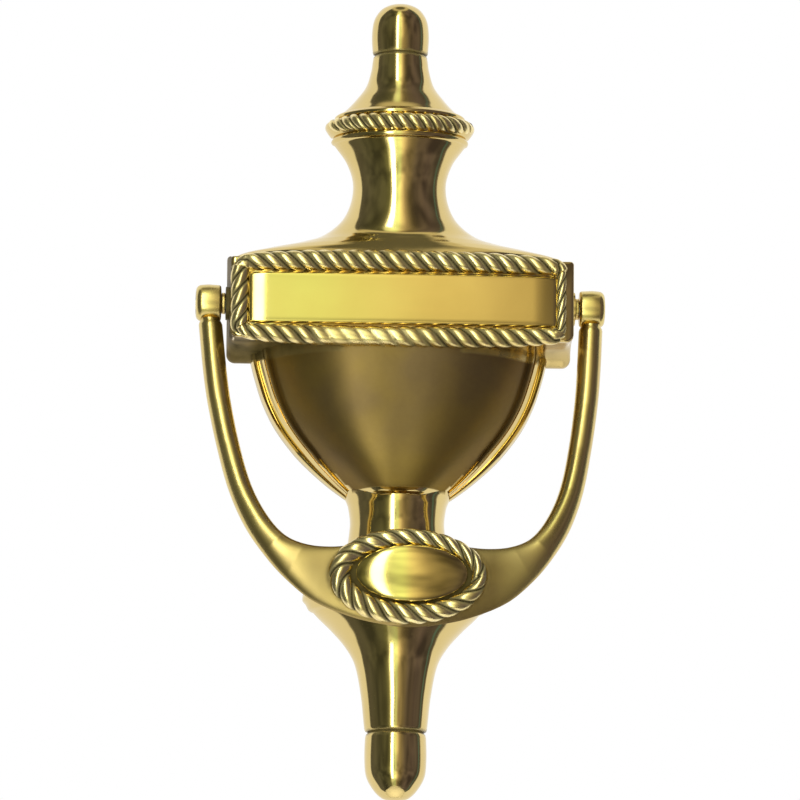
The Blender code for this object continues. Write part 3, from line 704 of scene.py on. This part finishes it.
def urn_steps():
    """What is joined to the turned body and cut out of it, in order."""
    yield "UNION", loft("bowl", [bowl_ring(*level) for level in smooth_run(BOWL)])
    yield "UNION", plinth_mesh()
    outline = [(STRIKE_RADIUS, STRIKE_OUT[0]), *rounded_end(STRIKE_RADIUS, STRIKE_EDGE, STRIKE_OUT[1], 1)]
    yield "UNION", turned("strike", outline, (0, 0, STRIKE_HEIGHT), OUTWARD)
    yield "DIFFERENCE", half_turned("hollow", smooth_run(HOLLOW, COARSE_STEPS), BEHIND + 1)
    hollow = [block_ring(half_width - WALL, lower + WALL, upper - WALL, out)
              for out, half_width, lower, upper in PLINTH if out < PLINTH_DEPTH - WALL]
    yield "DIFFERENCE", loft("plinth_hollow", [[p + Vector((0, 1, 0)) for p in hollow[0]], *hollow])
    for sign in (-1, 1):
        yield "UNION", cylinder(LUG_RADIUS, *LUG_FACES, PIVOT_CENTRE, (sign, 0, 0))
        bore = (LUG_FACES[0] - 1, LUG_FACES[1] + 1)
        yield "DIFFERENCE", cylinder(PIN_RADIUS + BORE_CLEARANCE, *bore, PIVOT_CENTRE, (sign, 0, 0))
    for place, top in BOSS_TOPS.items():
        low, high = box_mm(f"fixing_stud_{place}")
        centre = (0, 0, (low.z + high.z) / 2)
        yield "UNION", cylinder(BOSS_RADIUS, -BEHIND, top, centre, OUTWARD)
        radius = (high.z - low.z) / 2 + BORE_CLEARANCE
        yield "DIFFERENCE", cylinder(radius, -BEHIND - 1, BORE_CLEARANCE - low.y, centre, OUTWARD)
    yield "DIFFERENCE", door_block()


def urn_tarnish_and_shade(p):
    """Residue behind the casting; painted shade in the grooves, on the bowl, and in patches round the plinth.
    """
    # Painted shade in the grooves, with ragged edges
    ragged = GROOVE_REACH + GROOVE_RAGGED * noise.noise(Vector((0.5 * p.x, 0.5 * p.y, 0.4 * p.z)))
    near_groove = max(0.0, 1 - min(abs(p.z - groove) for groove in GROOVES) / ragged)
    # Painted shade under and beside the plinth, darker towards its left end, in patches
    shade_round_plinth = 0.0
    if under_plinth(p) or beside_plinth(p):
        shade_round_plinth = PLINTH_SHADE - PLINTH_SHADE_FADE * p.x + PLINTH_SHADE_PATCHES * noise.noise(0.35 * p)
    at_door = p.y > -AT_DOOR
    return max(GROOVE_SHADE * near_groove, BACK_RESIDUE * at_door, HOLLOW_RESIDUE * in_hollow(p),
               BOWL_SHADE * on_bowl(p), shade_round_plinth)


def under_plinth(p):
    low, high = UNDER_PLINTH
    near, far = UNDER_PLINTH_OUT
    return low < p.z < high and near < -p.y < far


def beside_plinth(p):
    return abs(p.x) > BESIDE_PLINTH and p.z > PLINTH_FOOT


def in_hollow(p):
    """Whether a point lies within the hollow's profile, or on it."""
    for low, high in zip(HOLLOW, HOLLOW[1:]):
        if low[0] <= p.z <= high[0]:
            share = (p.z - low[0]) / (high[0] - low[0])
            width = low[1] + (high[1] - low[1]) * share + HOLLOW_MARGIN
            depth = low[2] + (high[2] - low[2]) * share + HOLLOW_MARGIN
            return (p.x / width) ** 2 + (p.y / depth) ** 2 <= 1
    return False


def on_bowl(p):
    low, high = BOWL_FACE
    return low < p.z < high and -p.y > BOWL_FACE_OUT


def urn_dullness_and_shade(p):
    """The hollow is dull; the bowl is dull and darkened with painted shade; under and beside the plinth is
    painted shade with a duller finish, more at its left end than at its right.
    """
    if under_plinth(p) or beside_plinth(p):
        return PLINTH_DULL_SHADE - PLINTH_RIGHT_LIGHTER * share_between(p.x, *LIGHTER_RUN)
    return 1.0 if on_bowl(p) or in_hollow(p) else 0.0


def make_urn():
    runs = (LOWER_TIP, LOWER_FLARE, LOWER_COLLAR, LOWER_NECK, CORE, ROOF, PLAIN_BEAD, COLLAR_CORE, FILLET,
            UPPER_FLARE, UPPER_TIP)
    levels = [level for run in runs for level in smooth_run(run, CORE_STEPS if run is CORE else SPAN_STEPS)]
    mesh = combined(half_turned("urn", levels), list(urn_steps()))
    tint(mesh, "tarnish_and_shade", urn_tarnish_and_shade)
    tint(mesh, "dullness_and_shade", urn_dullness_and_shade)
    new_piece("urn_casting", mesh, CAST_BRASS, *URN)


def panel_out(share):
    """How far out the panel's middle line stands: a slight crown that turns down near the two ends."""
    turn = max(0.0, (abs(share) - PANEL_TURN) / (1 - PANEL_TURN))
    return PANEL_FACE - PANEL_CROWN * share ** 2 - PANEL_TURN_DOWN * turn ** 2


def make_panel():
    """The blank name panel, with soft edges: one ring across it at each step along X."""
    half_width, half_height = PANEL_HALF
    base, arc, flat_steps, end_steps, rise_steps = PLINTH_DEPTH - 1.0, 6, 60, 7, 8
    flat = [PANEL_FLAT * half_width * step / flat_steps for step in range(-flat_steps, flat_steps + 1)]
    ends = [half_width * (1 - PANEL_ENDS * (1 - math.sin(math.pi / 2 * step / end_steps)))
            for step in range(1, end_steps + 1)]
    rings = []
    for x in (*(-x for x in reversed(ends)), *flat, *ends):
        into = max(0.0, (abs(x) - half_width + PANEL_ROUND) / PANEL_ROUND)
        fall = PANEL_ROUND * (1 - math.sqrt(max(0.0, 1 - into ** 2)))
        face, height = panel_out(x / half_width) - fall, half_height - PANEL_NARROWS * fall
        section = [(-height, base)]
        section += [(-height + PANEL_ROUND * (1 - math.sin(a)), face - PANEL_ROUND * (1 - math.cos(a)))
                    for a in (math.pi / 2 * (1 - step / arc) for step in range(arc))]
        section += [((height - PANEL_ROUND) * step / rise_steps,
                     face + PANEL_CAMBER * (1 - (step / rise_steps) ** 2))
                    for step in range(-rise_steps, rise_steps + 1)]
        section += [(-z, out) for z, out in reversed(section[1:arc + 1])]
        section.append((height, base))
        rings.append([Vector((x, -out, PANEL_CENTRE + z)) for z, out in section])
    new_piece("name_panel", loft("name_panel", rings), PANEL_BRASS, *URN, sharp=60)


# Bail

def bail_set(height):
    return BAIL_SET * (PIVOT.z - height) / (PIVOT.z - MEDALLION_HEIGHT)


def arm_ring(outer, inner, out, thick, sign, swell=1.0):
    centre = (outer + inner) / 2
    reach = (outer - inner) / 2 * swell
    ring = []
    for step in range(ARM_RING):
        angle = 2 * math.pi * step / ARM_RING
        across = math.copysign(abs(math.cos(angle)) ** (2 / ARM_SQUARENESS), math.cos(angle))
        through = math.copysign(abs(math.sin(angle)) ** (2 / ARM_SQUARENESS), math.sin(angle))
        edge = centre + reach * across
        ring.append(Vector((sign * edge.x + bail_set(edge.y), -out + swell * thick / 2 * through, edge.y)))
    return ring


def arm_mesh(sign):
    """One arm; at its top a rounded shoulder sits under the eye."""
    outer = smooth_run(ARM_OUTER, ARM_STEPS)
    inner = smooth_run(ARM_INNER, ARM_STEPS)
    depth = smooth_run(zip(ARM_OUT, ARM_THICK), ARM_STEPS)
    rings = [arm_ring(o, i, d.x, d.y, sign, arm_swell(o.y)) for o, i, d in zip(outer, inner, depth)]
    return loft("arm", rings)


def arm_swell(height):
    """Narrow where the arm enters the eye, with a rounded shoulder below."""
    below = max(0.0, min(1.0, (NOTCH_HEIGHT - height) / NOTCH_LENGTH))
    return NOTCH_SIZE + NOTCH_RISE * below * below * (3 - 2 * below)


def oval_ring(size, out, steps=96):
    centre = bail_set(MEDALLION_HEIGHT)
    angles = [2 * math.pi * step / steps for step in range(steps)]
    return [Vector((centre + size[0] * math.cos(a), -out, MEDALLION_HEIGHT + size[1] * math.sin(a)))
            for a in angles]


def medallion_plate():
    back, front = MEDALLION_OUT
    width, height = MEDALLION_PLATE
    rings = [oval_ring((width - PLATE_EDGE, height - PLATE_EDGE), back)]
    for step in range(PLATE_EDGE_STEPS + 1):
        a = math.pi * (step / PLATE_EDGE_STEPS - 0.5)
        rounding = PLATE_EDGE * math.cos(a)
        rings.append(oval_ring((width - PLATE_EDGE + rounding, height - PLATE_EDGE + rounding),
                               (back + front) / 2 + (front - back) / 2 * math.sin(a)))
    rings += [oval_ring((width * share, height * share), front) for share in PLATE_FRONT]
    return loft("plate", rings)


def bail_steps():
    """What is joined to the medallion's plate and cut out of it, in order."""
    inner, outer = EYE_FACES
    rounded = EYE_RADIUS - EYE_CROWN
    eye = [*rounded_end(rounded, EYE_EDGES[0], inner, -1), (EYE_RADIUS, (inner + outer) / 2),
           *rounded_end(rounded, EYE_EDGES[1], outer, 1)]
    head = (PIN_HIGH.z - PIN_LOW.z) / 2 + BORE_CLEARANCE
    sink = PIN_HIGH.x - PIN_HEAD - BORE_CLEARANCE
    for sign in (-1, 1):
        axis = (sign, 0, 0)
        yield "UNION", arm_mesh(sign)
        yield "UNION", turned("eye", eye, PIVOT_CENTRE, axis)
        yield "DIFFERENCE", cylinder(PIN_RADIUS + EYE_CLEARANCE, inner - 1, outer + 1, PIVOT_CENTRE, axis)
        yield "DIFFERENCE", cylinder(head, sink, outer + 1, PIVOT_CENTRE, axis)
    knob = [*rounded_end(KNOB_RADIUS, KNOB_EDGE, KNOB_OUT[0], -1), (KNOB_RADIUS + KNOB_FLARE, KNOB_OUT[1])]
    yield "UNION", turned("knob", knob, (0, 0, STRIKE_HEIGHT), OUTWARD)


def oval_share(p):
    """How far p is from the wreath's centre, where the wreath's own centre line is at 1."""
    height = p.z - MEDALLION_HEIGHT - WREATH_RAISED
    return math.hypot((p.x - bail_set(MEDALLION_HEIGHT)) / WREATH_SIZE[0], height / WREATH_SIZE[1])


def cheek_painted_shade(p):
    """Painted shade: the cheeks beside the medallion are darker and duller, the right one more so."""
    dull = RIGHT_CHEEK_SHADE if p.x > 0 else LEFT_CHEEK_SHADE
    return dull * share_between(abs(p.x), *CHEEK_ACROSS) * share_between(p.z, *CHEEK_DOWN)


def bail_painted_shade(p):
    """Painted shade under the plaque, along the wreath's outer edge, and on the right cheek."""
    share = oval_share(p)
    if share < PLAQUE_BED and p.y < -BED_OUT:
        return BED_SHADE
    near_edge = max(0.0, 1 - abs(share - WREATH_EDGE) / WREATH_EDGE_REACH) if p.y < -EDGE_OUT else 0.0
    cheek = RIGHT_CHEEK_DARK_SHADE * cheek_painted_shade(p) if p.x > 0 else 0.0
    return max(EDGE_SHADE * near_edge, cheek)


def plaque_mesh():
    """The plain oval in the wreath: a low dome that steepens towards its rim."""
    low, high = PLAQUE_OUT
    rings = [oval_ring(PLAQUE_SIZE, low)]
    for step in range(PLAQUE_STEPS):
        share = math.cos(math.pi / 2 * step / PLAQUE_STEPS)
        fall = (high - PLAQUE_RIM) * (1 - (1 - share ** 2) ** PLAQUE_SHAPE)
        rings.append(oval_ring((PLAQUE_SIZE[0] * share, PLAQUE_SIZE[1] * share), high - fall))
    return loft("plaque", [[point + PLAQUE_SHIFT for point in ring] for ring in rings])


def wreath_mesh():
    angles = [2 * math.pi * step / WREATH_STEPS for step in range(WREATH_STEPS)]
    corners = [(bail_set(MEDALLION_HEIGHT) + WREATH_SIZE[0] * math.cos(a), -WREATH_OUT,
                MEDALLION_HEIGHT + WREATH_RAISED + WREATH_SIZE[1] * math.sin(a)) for a in angles]
    return rope("wreath", corners, True, wreath_radius, WREATH_PITCH, seed=8.1)


def make_bail():
    mesh = combined(medallion_plate(), list(bail_steps()))
    tint(mesh, "tarnish_and_shade", bail_painted_shade)
    tint(mesh, "dullness_and_shade", cheek_painted_shade)
    new_piece("bail_casting", mesh, BAIL_BRASS, *BAIL, sharp=45)
    new_piece("wreath_rope", wreath_mesh(), ROPE_LIGHTENED_BRASS, *BAIL, sharp=ROPE_SHARP)
    new_piece("medallion_plaque", plaque_mesh(), PANEL_BRASS, *BAIL, sharp=ROPE_SHARP)


# Pivot pins, spacers and fixings

def make_pivots():
    head = (PIN_HIGH.z - PIN_LOW.z) / 2
    neck = PIN_HIGH.x - PIN_HEAD
    pin = [*rounded_end(PIN_RADIUS, PIN_EDGES[0], PIN_LOW.x, -1), (PIN_RADIUS, neck), (head, neck),
           *rounded_end(head, PIN_EDGES[1], PIN_HIGH.x, 1)]
    outer = (SPACER_HIGH.z - SPACER_LOW.z) / 2 + SPACER_PROUD
    spacer = rounded_cylinder(outer, SPACER_LOW.x - SPACER_LIP, SPACER_HIGH.x + SPACER_LIP, SPACER_EDGE)
    for side, sign in (("left", -1), ("right", 1)):
        axis = (sign, 0, 0)
        new_piece(f"pivot_pin_{side}_turned", turned("pin", pin, PIVOT_CENTRE, axis), STEEL, "urn",
                  "pin_steel", f"pivot_pin_{side}")
        mesh = tube("spacer", spacer, PIN_RADIUS + BORE_CLEARANCE, PIVOT_CENTRE, axis)
        new_piece(f"pivot_spacer_{side}_turned", mesh, TURNED_BRASS, "urn", "fixing_brass",
                  f"pivot_spacer_{side}")


def thread_mesh(radius, start, end, centre):
    """A threaded stud along +Y: the radius follows a helix, and fades to a chamfer at both ends."""
    rows = round((end - start) / THREAD_PITCH * THREAD_ROWS)
    rings = []
    for row in range(rows + 1):
        along = start + (end - start) * row / rows
        room = min(along - start, end - along)
        ring = []
        for step in range(THREAD_SIDES):
            a = 2 * math.pi * step / THREAD_SIDES
            phase = (along / THREAD_PITCH - step / THREAD_SIDES) % 1.0
            groove = THREAD_DEPTH * (1 - abs(2 * phase - 1))
            size = min(radius - groove, radius - THREAD_CHAMFER + room)
            ring.append(Vector((centre.x + size * math.cos(a), along, centre.z + size * math.sin(a))))
        rings.append(ring)
    return loft("thread", rings)


def nut_mesh(low, high, stud):
    """A dome nut: a hexagon with turned-down corners under a dome, bored from the door's side."""
    middle = (low + high) / 2
    centre = (middle.x, 0, middle.z)
    flats = (high.x - low.x) / 2
    corner = flats / math.cos(math.pi / 6)
    top = high.y - NUT_DOME
    hexagon = turned("hex", [(corner, low.y), (corner, top + NUT_TOP_CHAMFER)], centre, INWARD, sides=6)
    cone = [(flats + NUT_SPARE, low.y - NUT_LAP), (corner + NUT_SPARE, low.y + NUT_FOOT_CHAMFER),
            (corner + NUT_SPARE, top - NUT_TOP_CHAMFER),
            (flats - NUT_TOP_INSET, top + NUT_TOP_CHAMFER + NUT_LAP)]
    angles = [math.pi / 2 * step / NUT_DOME_STEPS for step in range(NUT_DOME_STEPS)]
    dome = [(NUT_DOME_RADIUS, top - NUT_DOME_SUNK)]
    dome += [(NUT_DOME_RADIUS * math.cos(a), top + NUT_DOME * math.sin(a)) for a in angles]
    dome.append((NUT_TIP, high.y))
    bore = (stud[1].x - stud[0].x) / 2 + BORE_CLEARANCE
    return combined(hexagon, [
        ("INTERSECT", turned("chamfer", cone, centre, INWARD)),
        ("UNION", turned("dome", dome, centre, INWARD)),
        ("DIFFERENCE", cylinder(bore, low.y - 1, stud[1].y + BORE_CLEARANCE, centre, INWARD)),
    ])


def make_fixings():
    for place in BOSS_TOPS:
        stud = box_mm(f"fixing_stud_{place}")
        centre = (stud[0] + stud[1]) / 2
        radius = (stud[1].x - stud[0].x) / 2
        new_piece(f"threaded_stud_{place}", thread_mesh(radius, stud[0].y, stud[1].y, centre), STEEL, "urn",
                  "stud_steel", f"fixing_stud_{place}", sharp=25)
        low, high = box_mm(f"fixing_washer_{place}")
        outline = rounded_cylinder((high.x - low.x) / 2, low.y, high.y, WASHER_EDGE)
        washer = tube("washer", outline, radius + BORE_CLEARANCE, (centre.x, 0, centre.z), INWARD)
        new_piece(f"flat_washer_{place}", washer, TURNED_BRASS, "urn", "fixing_brass",
                  f"fixing_washer_{place}")
        nut = nut_mesh(*box_mm(f"dome_nut_{place}"), stud)
        new_piece(f"hex_dome_nut_{place}", nut, TURNED_BRASS, "urn", "fixing_brass", f"dome_nut_{place}",
                  sharp=25)


# Stage

def colour_band(tree, value, stops):
    """A colour ramp over stops of (place, grey or colour)."""
    made = node(tree, "ValToRGB")
    band = made.color_ramp
    band.elements.remove(band.elements[-1])
    for i, (place, colour) in enumerate(stops):
        element = band.elements[0] if i == 0 else band.elements.new(place)
        element.position = place
        element.color = (*colour, 1.0)
    tree.links.new(value, made.inputs["Fac"])
    return made.outputs["Color"]


# The room in front as (azimuth, colour), where 0 is straight out from the door and +90 is to the right
ROOM = ((-105, (0.12, 0.12, 0.12)), (-60, (0.10, 0.105, 0.085)), (-32, (0.10, 0.105, 0.07)),
        (-24, (0.16, 0.17, 0.09)), (-20, (0.80, 0.85, 0.62)), (-8, (1.05, 1.22, 0.80)),
        (-1, (1.02, 1.22, 0.70)), (3, (0.92, 0.84, 0.55)), (7, (0.64, 0.55, 0.37)), (11, (0.38, 0.32, 0.22)),
        (18, (0.22, 0.185, 0.13)), (32, (0.13, 0.11, 0.11)), (60, (0.11, 0.09, 0.11)),
        (88, (0.10, 0.09, 0.10)), (91, (0.12, 0.26, 0.32)), (94, (0.10, 0.10, 0.10)),
        (101, (0.13, 0.125, 0.12)))
ROOM_EDGE = 3
ROOM_SHADE, ROOM_PATCH_SCALE = (0.55, 1.45), 2.6
CEILING, CEILING_EDGE = (0.15, 0.145, 0.11), (0.75, 0.70, 0.52)
# Where each begins and is full, as the height or the depth of a unit direction
CEILING_EDGE_RISE, CEILING_RISE, BACKGROUND_DEPTH = (0.925, 0.955), (0.97, 0.985), (-0.25, 0.15)


def azimuth_share(tree, split):
    """A direction's azimuth as a share of the turn from -180 to 180 degrees."""
    front = node(tree, "Math", operation="MULTIPLY")
    front.inputs[1].default_value = -1.0
    tree.links.new(split.outputs["Y"], front.inputs[0])
    azimuth = node(tree, "Math", operation="ARCTAN2")
    tree.links.new(split.outputs["X"], azimuth.inputs[0])
    tree.links.new(front.outputs[0], azimuth.inputs[1])
    return ramp(tree, azimuth.outputs[0], 0.0, 1.0, -math.pi, math.pi)


def patchy_room(tree, direction, split):
    """The room's colours, lighter and darker in slow patches in front of the knocker but not behind it."""
    first, last = ROOM[0][0] - ROOM_EDGE, ROOM[-1][0] + ROOM_EDGE
    stops = [((angle + 180) / 360, colour)
             for angle, colour in ((-180, WHITE), (first, WHITE), *ROOM, (last, WHITE))]
    room = colour_band(tree, azimuth_share(tree, split), stops)
    patches = noise_value(tree, direction, ROOM_PATCH_SCALE, 1.5)
    shade = node(tree, "VectorMath", operation="SCALE")
    tree.links.new(room, shade.inputs[0])
    tree.links.new(ramp(tree, patches, *ROOM_SHADE, *MIDDLE), shade.inputs["Scale"])
    behind = ramp(tree, split.outputs["Y"], 0.0, 1.0, *BACKGROUND_DEPTH)
    return blend_colours(tree, behind, shade.outputs["Vector"], room)


def make_world():
    """White to the camera; reflections see the room, with a light band high up and a dark zenith."""
    world = bpy.data.worlds.new("studio")
    bpy.context.scene.world = world
    world.use_nodes = True
    tree = world.node_tree
    tree.nodes.clear()
    direction = node(tree, "TexCoord").outputs["Generated"]
    split = node(tree, "SeparateXYZ")
    tree.links.new(direction, split.inputs[0])
    room = patchy_room(tree, direction, split)
    high_up = ramp(tree, split.outputs["Z"], 0.0, 1.0, *CEILING_EDGE_RISE)
    overhead = ramp(tree, split.outputs["Z"], 0.0, 1.0, *CEILING_RISE)
    dome = blend_colours(tree, overhead, blend_colours(tree, high_up, room, CEILING_EDGE), CEILING)
    seen = node(tree, "LightPath").outputs["Is Camera Ray"]
    background = node(tree, "Background")
    tree.links.new(blend_colours(tree, seen, dome, WHITE), background.inputs["Color"])
    output = node(tree, "OutputWorld")
    tree.links.new(background.outputs[0], output.inputs["Surface"])


def add_area(name, azimuth, elevation, distance, size, power, colour=WHITE, aim=Vector()):
    """An area light that far from its aim, in that direction, and turned to it."""
    light = bpy.data.lights.new(name, "AREA")
    light.shape = "RECTANGLE"
    light.size, light.size_y = size
    light.energy = power
    light.color = colour
    obj = in_scene(name, light)
    back = direction_to(azimuth, elevation)
    obj.location = aim + back * distance
    obj.rotation_mode = "QUATERNION"
    obj.rotation_quaternion = back.to_track_quat("Z", "Y")


def direction_to(azimuth, elevation):
    a, e = math.radians(azimuth), math.radians(elevation)
    return Vector((math.sin(a) * math.cos(e), -math.cos(a) * math.cos(e), math.sin(e)))


FLOOR_RADIUS, FLOOR_CENTRE = 0.32, Vector((0.0, 0.0, -0.62))
FLOOR_COLOUR, FLOOR_ROUGHNESS = (0.82, 0.81, 0.79, 1.0), 0.7


def make_stage():
    """A floor disc with its own light, and the strip light that the front of the knocker reflects."""
    bm = bmesh.new()
    bmesh.ops.create_circle(bm, cap_ends=True, segments=96, radius=FLOOR_RADIUS)
    bmesh.ops.translate(bm, verts=bm.verts, vec=FLOOR_CENTRE)
    mesh = bpy.data.meshes.new("floor")
    bm.to_mesh(mesh)
    bm.free()
    floor = in_scene("floor", mesh)
    material = bpy.data.materials.new("pale_floor")
    material.use_nodes = True
    shader = material.node_tree.nodes["Principled BSDF"]
    shader.inputs["Base Color"].default_value = FLOOR_COLOUR
    shader.inputs["Roughness"].default_value = FLOOR_ROUGHNESS
    mesh.materials.append(material)
    add_area("strip", azimuth=-14.0, elevation=5.0, distance=1.6, size=(0.24, 3.6), power=14.0,
             colour=(1.0, 1.0, 0.92))
    add_area("floor_wash", azimuth=0.0, elevation=90.0, distance=0.27, size=(0.4, 0.4), power=1.3,
             aim=FLOOR_CENTRE)


CAMERA_AZIMUTH, CAMERA_ELEVATION, CAMERA_DISTANCE = -3.0, -10.5, 2.0
CAMERA_ROLL = 0.4
PICTURE_HEIGHT = 0.18776
AIM = Vector((0.5, 0.0, 0.0)) * MM


def make_camera():
    data = bpy.data.cameras.new("camera")
    data.lens = data.sensor_width * CAMERA_DISTANCE / PICTURE_HEIGHT
    data.clip_start, data.clip_end = 0.05, 20.0
    camera = in_scene("camera", data)
    back = direction_to(CAMERA_AZIMUTH, CAMERA_ELEVATION)
    camera.location = AIM + back * CAMERA_DISTANCE
    camera.rotation_mode = "QUATERNION"
    roll = Matrix.Rotation(math.radians(CAMERA_ROLL), 3, "Z").to_quaternion()
    camera.rotation_quaternion = back.to_track_quat("Z", "Y") @ roll
    bpy.context.scene.camera = camera
    bpy.context.scene.view_settings.view_transform = "Standard"


make_urn()
make_panel()
make_ropes()
make_bail()
make_pivots()
make_fixings()
make_world()
make_stage()
make_camera()
